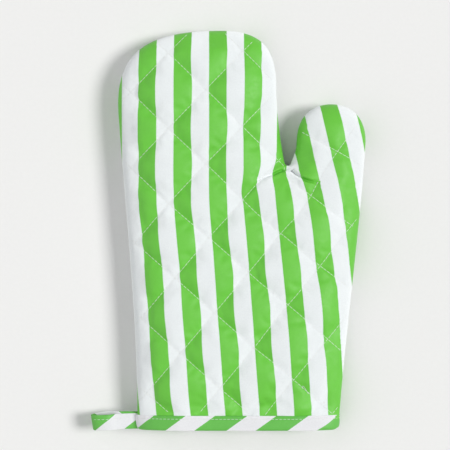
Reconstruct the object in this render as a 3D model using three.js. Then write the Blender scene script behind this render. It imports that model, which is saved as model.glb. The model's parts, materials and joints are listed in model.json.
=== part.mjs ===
// Quilted oven mitt, lying flat with its mouth towards -Y and its fingers towards +Y.
// Millimetres, +Z up. Each half of the mitt is a sandwich of face cloth, wadding and lining.
// The halves are sewn right sides together and turned, so all six plies end in a seam
// allowance that points into the mitt. Quilting lines cross on both halves, and the wadding
// swells between them. A bias strip binds the mouth, and a folded strip of the same stuff
// hangs on the side seam as a loop.
import * as THREE from "three";

// ---------------------------------------------------------------- driving dimensions

// Outline of the finished mitt, measured on the seam. X runs from the middle of the cuff.
const mittLength = 289; // cuff edge to fingertips
const cuffWidth = 146.6; // across the mouth, seam to seam
const fingerWidth = 115.4; // across the four fingers, at their widest
const fingerCentre = -29.8; // middle of the finger part
const fingertipOffset = 17; // from there to the highest point of the fingertips
const widestHeight = 234; // where the finger part is widest, on its outer side
const fingerShoulder = 41; // height of the rounded corner on the thumb's side
const thumbGap = 15; // between the finger part and the thumb, above the crotch
const crotchHeight = 190.2; // bottom of that gap
const crotchShare = 0.565; // where in the gap the crotch lies, from the fingers to the thumb
const crotchWidth = 5.2; // width of the sewn bend in the crotch
const crotchBend = 3.2; // height of that bend
const thumbWidth = 50.2; // across the thumb, at its widest
const thumbHeight = 235.4; // cuff edge to the tip of the thumb
const thumbRoundShare = 0.6; // of the thumb's height over the crotch, for its rounded end
const ellipse = 0.55; // fullness of a round quarter turn
const fingerFullness = 0.72; // the fingers end squarer than that
const thumbFullness = 0.62;
// How far each long side bows towards +X, a third and two thirds of the way along it.
const outerSideBow = [5.2, 0.4];
const fingerSideBow = [-1.6, -1.6];
const thumbBaseBow = [2.2, -1.8];

// Fullness of the halves, measured from the seam.
const frontCrown = 18.5; // rise of the upper half
const backCrown = 16.5; // rise of the lower half, if nothing pressed on it
const seamHeight = 14; // height of the seam over the table that flattens the lower half
const crownReach = 42; // distance from the seam over which the crown builds up
const cuffCrown = 0.72; // share of the crown that is left where the binding gathers the cuff
const gatherStart = 2; // past the binding
const gatherLength = 26; // length over which the gathered cuff swells to the full crown

// Plies, from the outside in.
const faceThickness = 0.7;
const waddingThickness = 5;
const waddingPressed = 1; // the wadding under a seam or under the binding
const liningThickness = 0.7;
const plyGap = 0.3; // between two plies that lie on each other
const foldGap = 0.5; // between the folds of two plies at the seam
const nestedReach = 8.4; // distance from the seam up to which the folds stay nested
const nestedFade = 14.7; // past that, the plies lie straight over each other
const seamAllowance = 6; // width of the turned edges, past the lining

// Quilting: two sets of lines that cross, and leave squares that stand on their corners.
const quiltHalfWidth = 27.2; // half of a square's diagonal, across the mitt
const quiltHalfHeight = 27.4; // and along it
const quiltLeft = -77.7; // a crossing of the lines
const quiltTop = 243.7;
const quiltSunk = 1.7; // how far the stitched lines lie below the plain crown
const quiltPuff = 4.3; // rise of the squares' middles over those lines
const quiltFullness = 0.55; // below 1, a square swells quickly beside the lines
const quiltSeamFade = 11; // distance from the seam over which the quilting builds up
const quiltCuffFade = 14; // and from the bound edge

// The cloth leans on the palm and turns with the thumb, and the quilting with it.
const palmLean = 0.075; // slope of the rows towards the thumb's side, on the palm
const fingerLean = 0.03; // and at the fingertips
const columnLean = 0.074; // slope of the columns, on the palm
const thumbTurn = [0.06, 0.16]; // slopes that the thumb adds, below and beside the crotch

// Binding and loop.
const bindingWidth = 9.2; // visible width on each side of the mouth
const bindingThickness = 1.2; // the folded strip, several plies thick
const bindingRounding = 0.55; // of its folded edge
const bindingClearance = 0.35;
const loopLength = 33; // root to fold
const loopWidth = 10.6; // width of the strip, along the cuff
const loopThickness = 1.3; // one leg of the folded strip
const loopGap = 8.4; // widest space between the legs
const loopSewn = 7; // length over which the legs are sewn to each other
const loopFold = 9; // length of the rounded fold
const loopClearance = 0.5; // between the loop's root and the bound cuff

// Facets.
const fingertipPoints = 12;
const thumbtipPoints = 6;
const palmRows = 11; // above the bound edge
const boundEdge = 1.5; // past the binding, where the cuff stops being straight
const fingerRows = 9;
const thumbRows = 7;
const cuffColumns = 14;
const edgeRings = [3, 8]; // insets of the rings of facets beside the seam
const ringMargin = 3.2; // least distance of the quilting's own facets from the last ring
const crowding = 0.65; // how strongly the points crowd towards the ends of a run, 0 to 1
const curveSamples = 60; // of each outline curve, before it is divided into rows
const loopSamples = 8; // of each curve of the loop's profile

const colours = {
  face: 0x6cc84c,
  wadding: 0xf1efe8,
  lining: 0xf4f4f1,
  binding: 0x5cbb45,
};

// ---------------------------------------------------------------- outline

const point = (x, y) => new THREE.Vector2(x, y);

// A quarter turn from a to b: it leaves a along X or along Y and meets b square to that.
function quarter(a, b, leavesAlongY, full = ellipse) {
  const bend = leavesAlongY
    ? [point(a.x, a.y + full * (b.y - a.y)), point(b.x - full * (b.x - a.x), b.y)]
    : [point(a.x + full * (b.x - a.x), a.y), point(b.x, b.y - full * (b.y - a.y))];
  return new THREE.CubicBezierCurve(a, ...bend, b);
}

// A long side from a to b that bows towards +X by the two given distances.
function bowed(a, b, bow) {
  const control = (share, aside) => a.clone().lerp(b, share).add(point(aside, 0));
  return new THREE.CubicBezierCurve(a, control(1 / 3, bow[0]), control(2 / 3, bow[1]), b);
}

// The seam line, as curves in order: up the outer side, over the fingers, down into the
// crotch, over the thumb and down to the other end of the cuff.
function outlineCurves() {
  const cuffLeft = point(-cuffWidth / 2, 0);
  const cuffRight = point(cuffWidth / 2, 0);
  const fingerLeft = point(fingerCentre - fingerWidth / 2, widestHeight);
  const fingertip = point(fingerCentre + fingertipOffset, mittLength);
  const fingerRight = point(fingerCentre + fingerWidth / 2, mittLength - fingerShoulder);
  const thumbRound = thumbRoundShare * (thumbHeight - crotchHeight);
  const thumbLeft = point(fingerRight.x + thumbGap, thumbHeight - thumbRound);
  const thumbTip = point(thumbLeft.x + thumbWidth / 2, thumbHeight);
  const thumbRight = point(thumbLeft.x + thumbWidth, thumbHeight - thumbRound);
  const crotch = point(fingerRight.x + crotchShare * thumbGap, crotchHeight);
  const crotchLeft = point(crotch.x - crotchWidth / 2, crotchHeight + crotchBend);
  const crotchRight = point(crotch.x + crotchWidth / 2, crotchHeight + crotchBend);
  return {
    outerSide: bowed(cuffLeft, fingerLeft, outerSideBow),
    fingersLeft: quarter(fingerLeft, fingertip, true, fingerFullness),
    fingersRight: quarter(fingertip, fingerRight, false, fingerFullness),
    fingerSide: bowed(fingerRight, crotchLeft, fingerSideBow),
    crotchLeft: quarter(crotchLeft, crotch, true),
    crotchRight: quarter(crotch, crotchRight, false),
    thumbSide: new THREE.QuadraticBezierCurve(
      crotchRight, point(thumbLeft.x, (crotchRight.y + thumbLeft.y) / 2), thumbLeft,
    ),
    thumbInner: quarter(thumbLeft, thumbTip, true, thumbFullness),
    thumbOuter: quarter(thumbTip, thumbRight, false, thumbFullness),
    thumbBase: bowed(thumbRight, cuffRight, thumbBaseBow),
  };
}

// ---------------------------------------------------------------- dividing the outline

// Points along curves laid end to end. Each piece is [curve, from, to] in the curve's parameter.
function trace(...pieces) {
  const line = [];
  for (const [curve, from = 0, to = 1] of pieces)
    for (let i = line.length ? 1 : 0; i <= curveSamples; i++)
      line.push(curve.getPoint(from + ((to - from) * i) / curveSamples));
  return line;
}

// The line again, with a point at each of the given shares of its length. The shares may
// depend on that length.
function divide(line, shares) {
  const along = [0];
  for (let i = 1; i < line.length; i++)
    along.push(along[i - 1] + line[i].distanceTo(line[i - 1]));
  const total = along[along.length - 1];
  return (typeof shares === "function" ? shares(total) : shares).map((share) => {
    const target = share * total;
    let i = 1;
    while (i < line.length - 1 && along[i] < target) i++;
    const step = (target - along[i - 1]) / (along[i] - along[i - 1]);
    return line[i - 1].clone().lerp(line[i], step);
  });
}

const evenly = (count) => Array.from({ length: count + 1 }, (_, i) => i / count);
const mix = (a, b, share) => a + (b - a) * share;
// Shares from 0 to 1 that crowd towards the far end.
const crowdedLast = (count) =>
  evenly(count).map((s) => mix(s, Math.sin((Math.PI * s) / 2), crowding));

// Two points in the crotch's own bend, which takes up the first share, and the rest after it.
const fromCrotch = (count, bend) =>
  [0, bend / 2, ...crowdedLast(count - 2).map((s) => mix(bend, 1, s))];

// The parameter at which a curve that runs up or down reaches a height.
function parameterAt(curve, height) {
  const rising = curve.getPoint(1).y > curve.getPoint(0).y;
  let low = 0;
  let high = 1;
  for (let i = 0; i < 40; i++) {
    const middle = (low + high) / 2;
    if (curve.getPoint(middle).y < height === rising) low = middle;
    else high = middle;
  }
  return low;
}

// Points up the palm: the mouth, the top of the binding, then evenly up to the crotch.
const boundHeight = bindingWidth + boundEdge;
const boundRow = boundHeight / crotchHeight;
const palmShares = [0, ...evenly(palmRows).map((s) => mix(boundRow, 1, s))];

// The seam as one run of points from the cuff's left end to its right end.
function makeSeam() {
  const c = outlineCurves();
  const left = parameterAt(c.outerSide, crotchHeight);
  const right = parameterAt(c.thumbBase, crotchHeight);
  const halfway = 0.5;
  const backwards = (shares) => shares.map((s) => 1 - s).reverse();
  const runs = [
    divide(trace([c.outerSide, 0, left]), palmShares),
    divide(trace([c.outerSide, left, 1], [c.fingersLeft, 0, halfway]), crowdedLast(fingerRows)),
    divide(
      trace([c.fingersLeft, halfway, 1], [c.fingersRight, 0, halfway]), evenly(fingertipPoints),
    ),
    divide(
      trace([c.fingersRight, halfway, 1], [c.fingerSide], [c.crotchLeft]),
      (length) => backwards(fromCrotch(fingerRows, c.crotchLeft.getLength() / length)),
    ),
    divide(
      trace([c.crotchRight], [c.thumbSide], [c.thumbInner, 0, halfway]),
      (length) => fromCrotch(thumbRows, c.crotchRight.getLength() / length),
    ),
    divide(trace([c.thumbInner, halfway, 1], [c.thumbOuter, 0, halfway]), evenly(thumbtipPoints)),
    divide(
      trace([c.thumbOuter, halfway, 1], [c.thumbBase, 0, right]),
      backwards(crowdedLast(thumbRows)),
    ),
    divide(trace([c.thumbBase, right, 1]), backwards(palmShares)),
  ];
  return [runs[0][0], ...runs.flatMap((run) => run.slice(1))];
}

const seam = makeSeam();
const seamEnd = seam.length - 1;
// The direction from each seam point into the mitt. It runs along X at the mouth.
const seamInward = seam.map((p, i) => {
  if (i === 0 || i === seamEnd) return point(Math.sign(-p.x), 0);
  const along = seam[i + 1].clone().sub(seam[i - 1]).normalize();
  return point(along.y, -along.x);
});

// ---------------------------------------------------------------- quilting

const smooth = (t) => {
  const s = Math.min(Math.max(t, 0), 1);
  return s * s * (3 - 2 * s);
};
// The integral of a smooth step: 0 before start, and a slope of 1 past end.
const ramp = (t, start, end) => {
  const s = Math.min(Math.max((t - start) / (end - start), 0), 1);
  return (end - start) * (s ** 3 - s ** 4 / 2) + Math.max(t - end, 0);
};

// The cloth leans and turns in steps, given as shares of the crotch's height.
const crotchX = fingerCentre + fingerWidth / 2 + crotchShare * thumbGap;
const thumbMiddle = crotchX + thumbWidth / 4;

// 0 on the fingers and 1 on the thumb, with a wide change below the crotch.
function thumbShare({ x, y }) {
  const near = smooth((y / crotchHeight - 0.87) / 0.135);
  const half = mix(thumbWidth * 0.65, thumbGap / 4, near);
  return smooth((x - crotchX + half) / (2 * half));
}

// A place in the cloth's own directions: across and along its columns.
function onCloth(p) {
  const thumb = thumbShare(p);
  const rise = p.y / crotchHeight;
  const turned = thumbTurn[0] * ramp(rise, 0.39, 0.54) + thumbTurn[1] * ramp(rise, 0.715, 0.945);
  const turn = thumbTurn[0] * smooth((rise - 0.39) / 0.15)
    + thumbTurn[1] * smooth((rise - 0.715) / 0.23);
  const leaning = columnLean * ramp(-rise, -0.91, -0.79);
  const slope = fingerLean
    + (palmLean - fingerLean)
    * (0.45 * smooth((1.158 - rise) / 0.158) + 0.55 * smooth((0.842 - rise) / 0.131));
  return point(
    p.x + (thumb * turned - leaning) * crotchHeight,
    p.y - slope * (p.x - quiltLeft) - thumb * turn * (p.x - thumbMiddle),
  );
}

// The place of a crossing of the quilting's fine grid, which has two steps to a half square.
// The lines run through its crossings along its diagonals.
function quiltCrossing(across, down) {
  const wanted = point(
    quiltLeft + (across * quiltHalfWidth) / 2, quiltTop - (down * quiltHalfHeight) / 2,
  );
  const place = wanted.clone();
  for (let i = 0; i < 60; i++) place.addScaledVector(wanted.clone().sub(onCloth(place)), 0.7);
  return onCloth(place).distanceTo(wanted) < 0.01 ? place : null;
}

// 0 on the quilting lines and 1 in the middle of each square.
function swell(p) {
  const cloth = onCloth(p);
  const across = (cloth.x - quiltLeft) / quiltHalfWidth;
  const down = (quiltTop - cloth.y) / quiltHalfHeight;
  const wave = (t) => Math.abs(Math.sin((Math.PI * t) / 2));
  return (wave(across + down) * wave(across - down)) ** quiltFullness;
}

// ---------------------------------------------------------------- ply surfaces

// 0 where the binding gathers the cuff, 1 where the mitt is full.
const fullness = (y) => smooth((y - bindingWidth - gatherStart) / gatherLength);
const waddingAt = (y) => mix(waddingPressed, waddingThickness, fullness(y));

// The six faces of a half's three plies. A face turns inwards at the seam: `inset` is how far
// inside the seam line it turns, `level` is its distance from the seam plane after the turn,
// and `depth` is how far it lies below the outside of the mitt, away from the seam. `relief`
// is what the quilting adds to its height on a line and in the middle of a square.
const stack = (inset, level, depth, relief) => ({ inset, level, depth, relief });
const below = (face, inset, level, depth, relief = face.relief) =>
  stack(face.inset + inset, face.level + level, (y) => face.depth(y) + depth(y), relief);
const always = (value) => () => value;
const puffedUp = { line: -quiltSunk, middle: quiltPuff - quiltSunk };
const plain = { line: 0, middle: 0 };
const faceOutside = stack(0, plyGap / 2, always(0), puffedUp);
const faceInside = below(faceOutside, faceThickness, faceThickness, always(faceThickness));
const waddingOutside = below(faceInside, foldGap, plyGap, always(plyGap));
const waddingInside = below(waddingOutside, waddingPressed, waddingPressed, waddingAt, plain);
const liningOutside = below(waddingInside, foldGap, plyGap, always(plyGap));
const liningInside = below(liningOutside, liningThickness, liningThickness, always(liningThickness));
const allowanceEnd = (y) => liningInside.inset + plyGap + seamAllowance * fullness(y);

// The two sides of the cuff run on past the mouth, so that the crown doesn't fade there.
const pastTheMouth = point(0, -2 * mittLength);
const seamWithRunout = [
  seam[0].clone().add(pastTheMouth),
  ...seam,
  seam[seamEnd].clone().add(pastTheMouth),
];

// A smooth distance from the seam: exact beside one straight edge, and less than the distance
// to the nearest edge where several edges are near.
function distanceAt(p) {
  let sum = 0;
  for (let i = 1; i < seamWithRunout.length; i++) {
    const along = seamWithRunout[i].clone().sub(seamWithRunout[i - 1]);
    const length = along.length();
    along.divideScalar(length);
    const offset = seamWithRunout[i - 1].clone().sub(p);
    const start = offset.dot(along);
    const end = start + length;
    const aside = Math.max(offset.lengthSq() - start * start, 1e-7);
    sum += (end / Math.sqrt(aside + end * end) - start / Math.sqrt(aside + start * start)) / aside;
  }
  return 1 / Math.sqrt(sum / 2);
}

// How much of the quilting's relief there is: none at the seam and in the bound edge.
const quiltedShare = (distance, y) =>
  smooth(distance / quiltSeamFade) * smooth((y - boundHeight) / quiltCuffFade);

// A place on the outside of a half, seen from above, with all that puts a ply's face there.
function placeInside(at) {
  const distance = distanceAt(at);
  const step = 0.05; // for the slope of the distance, which points into the mitt
  const inward = point(
    (distanceAt(at.clone().add(point(step, 0))) - distance) / step,
    (distanceAt(at.clone().add(point(0, step))) - distance) / step,
  );
  // Under the binding the cloth is square to the mouth.
  inward.y *= fullness(at.y);
  inward.clampLength(0, 1);
  inward.multiplyScalar(1 - smooth((distance - nestedReach) / nestedFade));
  return { at, distance, inward, quilted: quiltedShare(distance, at.y), swell: swell(at) };
}

const front = { name: "front", sign: 1, crown: frontCrown, limit: Infinity };
const back = { name: "back", sign: -1, crown: backCrown, limit: seamHeight };

// The point of a face at a place. The crown rises from the seam as a quarter of an ellipse.
function pointOn(side, face, place) {
  const { at, distance, inward, quilted } = place;
  const depth = face.depth(at.y);
  const crown = side.crown * mix(cuffCrown, 1, fullness(at.y)) - depth;
  const short = Math.max(1 - distance / crownReach, 0);
  const relief = quilted * mix(face.relief.line, face.relief.middle, place.swell);
  const height = mix(face.level, crown, Math.sqrt(1 - short * short)) + relief;
  return new THREE.Vector3(
    at.x + face.inset * inward.x,
    at.y + face.inset * inward.y,
    side.sign * Math.min(height, side.limit - depth),
  );
}

// ---------------------------------------------------------------- panel

// Twice the area of a triangle, above 0 if it runs anticlockwise.
const turnOf = (a, b, c) => (b.x - a.x) * (c.y - a.y) - (b.y - a.y) * (c.x - a.x);

function distanceToSeam(p) {
  let best = Infinity;
  for (let i = 1; i < seam.length; i++) {
    const along = seam[i].clone().sub(seam[i - 1]);
    const offset = p.clone().sub(seam[i - 1]);
    const share = Math.min(Math.max(offset.dot(along) / along.lengthSq(), 0), 1);
    best = Math.min(best, offset.addScaledVector(along, -share).length());
  }
  return best;
}

function isInside(p) {
  let inside = false;
  seam.forEach((a, i) => {
    const b = seam[(i + 1) % seam.length];
    if (a.y > p.y !== b.y > p.y && p.x < a.x + ((p.y - a.y) * (b.x - a.x)) / (b.y - a.y))
      inside = !inside;
  });
  return inside;
}

// The triangles of the quilting's fine grid that lie well inside the last ring. Each cell is
// cut along the diagonal on which a quilting line runs.
function quiltTriangles(add) {
  const keep = (p) =>
    p && p.y > boundHeight + ringMargin && isInside(p)
    && distanceToSeam(p) > edgeRings.at(-1) + ringMargin;
  const steps = Math.ceil((4 * mittLength) / Math.min(quiltHalfWidth, quiltHalfHeight));
  const known = new Map();
  const crossing = (i, j) => {
    const key = `${i} ${j}`;
    if (!known.has(key)) {
      const place = quiltCrossing(i, j);
      known.set(key, keep(place) ? add(place) : -1);
    }
    return known.get(key);
  };
  const triangles = [];
  for (let i = -steps; i < steps; i++)
    for (let j = -steps; j < steps; j++) {
      const [a, b, c, d] = [
        crossing(i, j), crossing(i, j + 1), crossing(i + 1, j + 1), crossing(i + 1, j),
      ];
      const halves = (i + j) % 2 === 0 ? [[a, b, c], [a, c, d]] : [[b, c, d], [a, b, d]];
      triangles.push(...halves.filter((corners) => !corners.includes(-1)));
    }
  return withoutPinches(triangles);
}

// From each point on the border of a set of anticlockwise triangles to the next ones.
function borderSides(triangles) {
  const sides = new Set(triangles.flatMap(([a, b, c]) => [`${a} ${b}`, `${b} ${c}`, `${c} ${a}`]));
  const onward = new Map();
  for (const side of sides) {
    const [a, b] = side.split(" ").map(Number);
    if (!sides.has(`${b} ${a}`)) onward.set(a, [...(onward.get(a) ?? []), b]);
  }
  return onward;
}

// Leaves out triangles until the rest meet along their sides, and nowhere in a corner only.
function withoutPinches(triangles) {
  const onward = borderSides(triangles);
  const kept = triangles.filter((t) => t.every((k) => (onward.get(k) ?? []).length < 2));
  return kept.length < triangles.length ? withoutPinches(kept) : triangles;
}

// The closed borders of a set of triangles, as loops of point numbers.
function bordersOf(triangles) {
  const onward = borderSides(triangles);
  const loops = [];
  while (onward.size) {
    const loop = [onward.keys().next().value];
    do {
      const last = loop.at(-1);
      loop.push(onward.get(last)[0]);
      onward.delete(last);
    } while (loop.at(-1) !== loop[0]);
    loops.push(loop.slice(1));
  }
  return loops;
}

// Turns the sides between pairs of triangles, until none has a needlessly sharp corner.
function evenOut(triangles, points) {
  const opposite = (triangle, a, b) => triangle.find((k) => k !== a && k !== b);
  const insideCircle = (a, b, c, d) => {
    const [p, q, r] = [a, b, c].map((k) => points[k].clone().sub(points[d]));
    return p.lengthSq() * q.cross(r) + q.lengthSq() * r.cross(p) + r.lengthSq() * p.cross(q) > 1e-6;
  };
  for (let round = 0, changed = true; changed && round < 50; round++) {
    changed = false;
    const owner = new Map();
    triangles.forEach((t, n) => [0, 1, 2].forEach((k) => owner.set(`${t[k]} ${t[(k + 1) % 3]}`, n)));
    const touched = new Set();
    for (const [side, n] of owner) {
      const [a, b] = side.split(" ").map(Number);
      const m = owner.get(`${b} ${a}`);
      if (m === undefined || touched.has(n) || touched.has(m)) continue;
      const c = opposite(triangles[n], a, b);
      const d = opposite(triangles[m], a, b);
      const convex = turnOf(points[c], points[a], points[d]) > 0.1
        && turnOf(points[d], points[b], points[c]) > 0.1;
      if (!convex || !insideCircle(a, b, c, d)) continue;
      triangles[n] = [a, d, c];
      triangles[m] = [d, b, c];
      touched.add(n).add(m);
      changed = true;
    }
  }
  return triangles;
}

// The outside of a half seen from above: its places, the triangles between them, and the
// numbers of those on the seam, in the mouth and in the row above the bound edge.
function makePanel() {
  const points = [];
  const add = (p) => points.push(p) - 1;
  const rings = [0, ...edgeRings].map((inset) =>
    seam.map((p, i) => add(p.clone().addScaledVector(seamInward[i], inset))),
  );
  // Rows across the cuff run from ring to ring, with even columns between the last ones.
  const acrossCuff = (i) => {
    const ends = rings.map((ring) => ring[i]);
    const others = rings.map((ring) => ring[seamEnd - i]).reverse();
    const [from, to] = [points[ends.at(-1)], points[others[0]]];
    const middle = evenly(cuffColumns).slice(1, -1).map((s) => add(from.clone().lerp(to, s)));
    return [...ends, ...middle, ...others];
  };
  const mouth = acrossCuff(0);
  const above = acrossCuff(1);

  const triangles = [];
  const quad = (a, b, c, d) => triangles.push([a, b, c], [a, c, d]);
  for (let k = 1; k < rings.length; k++)
    for (let i = 0; i < seamEnd; i++)
      quad(rings[k - 1][i], rings[k][i], rings[k][i + 1], rings[k - 1][i + 1]);
  for (let i = rings.length - 1; i < mouth.length - rings.length; i++)
    quad(mouth[i], mouth[i + 1], above[i + 1], above[i]);

  const quilt = quiltTriangles(add);
  const borders = bordersOf(quilt);
  const contour = [
    ...above.slice(rings.length - 1, 1 - rings.length), ...rings.at(-1).slice(2, -2).reverse(),
  ];
  const numbers = [contour, ...borders].flat();
  const places = (loop) => loop.map((k) => points[k]);
  const between = THREE.ShapeUtils.triangulateShape(places(contour), borders.map(places))
    .map((corners) => corners.map((k) => numbers[k]));
  triangles.push(...quilt, ...evenOut(between, points));

  const onSeam = new Map(seam.map((at, i) => [rings[0][i], { at, inward: seamInward[i] }]));
  const made = points.map((at, k) =>
    onSeam.has(k) ? { ...onSeam.get(k), distance: 0, quilted: 0, swell: 0 } : placeInside(at),
  );
  return { places: made, triangles, edge: rings[0], mouth, above };
}

const panel = makePanel();

// The points of a face, one for each place of the panel.
const plyFace = (side, face) => panel.places.map((place) => pointOn(side, face, place));

// ---------------------------------------------------------------- meshes

class Skin {
  constructor(flipped) {
    this.flipped = flipped;
    this.corners = [];
  }
  triangle(a, b, c) {
    this.corners.push(...(this.flipped ? [a, c, b] : [a, b, c]));
  }
  quad(a, b, c, d) {
    this.triangle(a, b, c);
    this.triangle(a, c, d);
  }
  // Quads between two runs of points that have the same length.
  strip(one, other) {
    for (let i = 1; i < one.length; i++) this.quad(one[i - 1], one[i], other[i], other[i - 1]);
  }
  geometry() {
    const made = new THREE.BufferGeometry().setFromPoints(this.corners);
    made.computeVertexNormals();
    return made;
  }
}

// A ply of one half: its two faces, and the turned edge that joins them.
function plyGeometry(side, outside, inside) {
  const outer = plyFace(side, outside);
  const inner = plyFace(side, inside);
  const pick = (points, numbers) => numbers.map((k) => points[k]);
  const turned = (level) =>
    seam.map((p, i) => {
      const cut = p.clone().addScaledVector(seamInward[i], allowanceEnd(p.y));
      return new THREE.Vector3(cut.x, cut.y, side.sign * level);
    });
  const turnedOuter = turned(outside.level);
  const turnedInner = turned(inside.level);
  const skin = new Skin(side.sign < 0);
  for (const [a, b, c] of panel.triangles) {
    skin.triangle(outer[a], outer[b], outer[c]);
    skin.triangle(inner[a], inner[c], inner[b]);
  }
  const [outerEdge, innerEdge] = [outer, inner].map((points) => pick(points, panel.edge));
  skin.strip(outerEdge, turnedOuter);
  skin.strip(turnedOuter, turnedInner);
  skin.strip(turnedInner, innerEdge);
  skin.strip(pick(inner, panel.mouth), pick(outer, panel.mouth));
  skin.quad(outerEdge[0], turnedOuter[0], turnedInner[0], innerEdge[0]);
  skin.quad(outerEdge[seamEnd], innerEdge[seamEnd], turnedInner[seamEnd], turnedOuter[seamEnd]);
  return skin.geometry();
}

// A closed ring around the cuff: a face of the stack, at a place y along the cuff. The cuff
// is straight between the mouth and the row above the bound edge.
function mouthRing(face, y) {
  const half = (side) =>
    panel.mouth.map((k, i) => {
      const low = pointOn(side, face, panel.places[k]);
      const high = pointOn(side, face, panel.places[panel.above[i]]);
      return low.clone().lerp(high, (y - low.y) / (high.y - low.y)).setY(y);
    });
  return [...half(front), ...half(back).slice(1, -1).reverse()];
}

// The strip that is folded over the raw edges of the mouth.
function bindingGeometry() {
  const away = (face, by) => below({ ...face, level: 0 }, by, 0, always(by));
  const outside = (by) => away(faceOutside, -bindingClearance - by);
  const inside = (by) => away(liningInside, plyGap + bindingClearance + by);
  const fold = -bindingClearance;
  const foldEdge = fold - bindingThickness;
  const rings = [
    mouthRing(outside(0), bindingWidth),
    mouthRing(outside(bindingThickness), bindingWidth),
    mouthRing(outside(bindingThickness), fold),
    mouthRing(outside(bindingThickness - bindingRounding), foldEdge),
    mouthRing(inside(bindingThickness - bindingRounding), foldEdge),
    mouthRing(inside(bindingThickness), fold),
    mouthRing(inside(bindingThickness), bindingWidth),
    mouthRing(inside(0), bindingWidth),
    mouthRing(inside(0), fold),
    mouthRing(outside(0), fold),
  ];
  const skin = new Skin(true);
  rings.forEach((ring, k) => {
    const next = rings[(k + 1) % rings.length];
    skin.strip([...ring, ring[0]], [...next, next[0]]);
  });
  return skin.geometry();
}

// Side view of the hanging loop, with its hinge line at the origin and its fold towards -X.
function loopProfile() {
  const legOffset = loopThickness / 2;
  const widest = loopGap / 2 + legOffset;
  const sewnEnd = point(-loopSewn, legOffset);
  const foldStart = point(loopFold - loopLength, widest);
  const opening = (foldStart.x - sewnEnd.x) / 2;
  const middle = new THREE.CurvePath();
  middle.add(new THREE.CubicBezierCurve(
    sewnEnd, point(sewnEnd.x + opening, sewnEnd.y), point(foldStart.x - opening, widest), foldStart,
  ));
  middle.add(quarter(foldStart, point(legOffset - loopLength, 0), false));
  // One face of the upper leg, followed by the same face of the lower one, back to the root.
  const legFace = (offset) => {
    const samples = 2 * loopSamples;
    const upper = evenly(samples).map((share) => {
      const along = middle.getTangentAt(share);
      const out = point(along.y, -along.x).multiplyScalar(offset);
      return middle.getPointAt(share).add(out);
    });
    return [...upper, ...upper.slice(0, -1).reverse().map((p) => point(p.x, -p.y))];
  };
  const shape = new THREE.Shape(legFace(legOffset));
  shape.absarc(0, 0, loopThickness, -Math.PI / 2, Math.PI / 2, false);
  const eye = legFace(-legOffset);
  shape.holes.push(new THREE.Path(eye.slice(0, -1)));
  return shape;
}

// The loop's hinge line lies in the seam plane, beside the bound end of the cuff.
const loopHinge = point(
  -cuffWidth / 2 - bindingClearance - bindingThickness - loopClearance - loopThickness,
  -bindingClearance - bindingThickness,
);

function loopMesh() {
  const geometry = new THREE.ExtrudeGeometry(loopProfile(), {
    depth: loopWidth,
    bevelEnabled: false,
    curveSegments: loopSamples,
  });
  const mesh = new THREE.Mesh(geometry, cloth(colours.binding));
  mesh.name = "hanging_loop";
  // The profile is drawn in XY and extruded along +Z: stand it up, so that it runs along +Y.
  mesh.rotation.x = Math.PI / 2;
  mesh.position.set(loopHinge.x, loopHinge.y + loopWidth, 0);
  return mesh;
}

// ---------------------------------------------------------------- the mitt

function cloth(colour) {
  return new THREE.MeshStandardMaterial({ color: colour, roughness: 0.85, metalness: 0 });
}

function namedMesh(name, geometry, colour) {
  const mesh = new THREE.Mesh(geometry, cloth(colour));
  mesh.name = name;
  return mesh;
}

function mittHalf(side) {
  const half = new THREE.Group();
  half.add(
    namedMesh(`${side.name}_face_cloth`,
      plyGeometry(side, faceOutside, faceInside), colours.face),
    namedMesh(`${side.name}_wadding`,
      plyGeometry(side, waddingOutside, waddingInside), colours.wadding),
    namedMesh(`${side.name}_lining`,
      plyGeometry(side, liningOutside, liningInside), colours.lining),
  );
  return half;
}

const mitt = new THREE.Group();
mitt.add(
  mittHalf(front),
  mittHalf(back),
  namedMesh("cuff_binding", bindingGeometry(), colours.binding),
  loopMesh(),
);

// The origin is the middle of the mitt's footprint, on the table.
const box = new THREE.Box3().setFromObject(mitt, true);
mitt.position.set(-(box.min.x + box.max.x) / 2, -(box.min.y + box.max.y) / 2, -box.min.z);

export default mitt;
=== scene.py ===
"""Looks of the quilted oven mitt, built around its CAD part.

Lengths are millimetres in the mitt's own frame, until a mesh is made: x runs from the middle
of the cuff, y from the cloth edge of the cuff towards the fingers, and z up from the plane in
which the two halves are sewn to each other.
"""

import json
import math
from collections import Counter

import bmesh
import bpy
import numpy as np
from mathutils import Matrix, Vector
from mathutils.bvhtree import BVHTree
from mathutils.geometry import delaunay_2d_cdt


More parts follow.
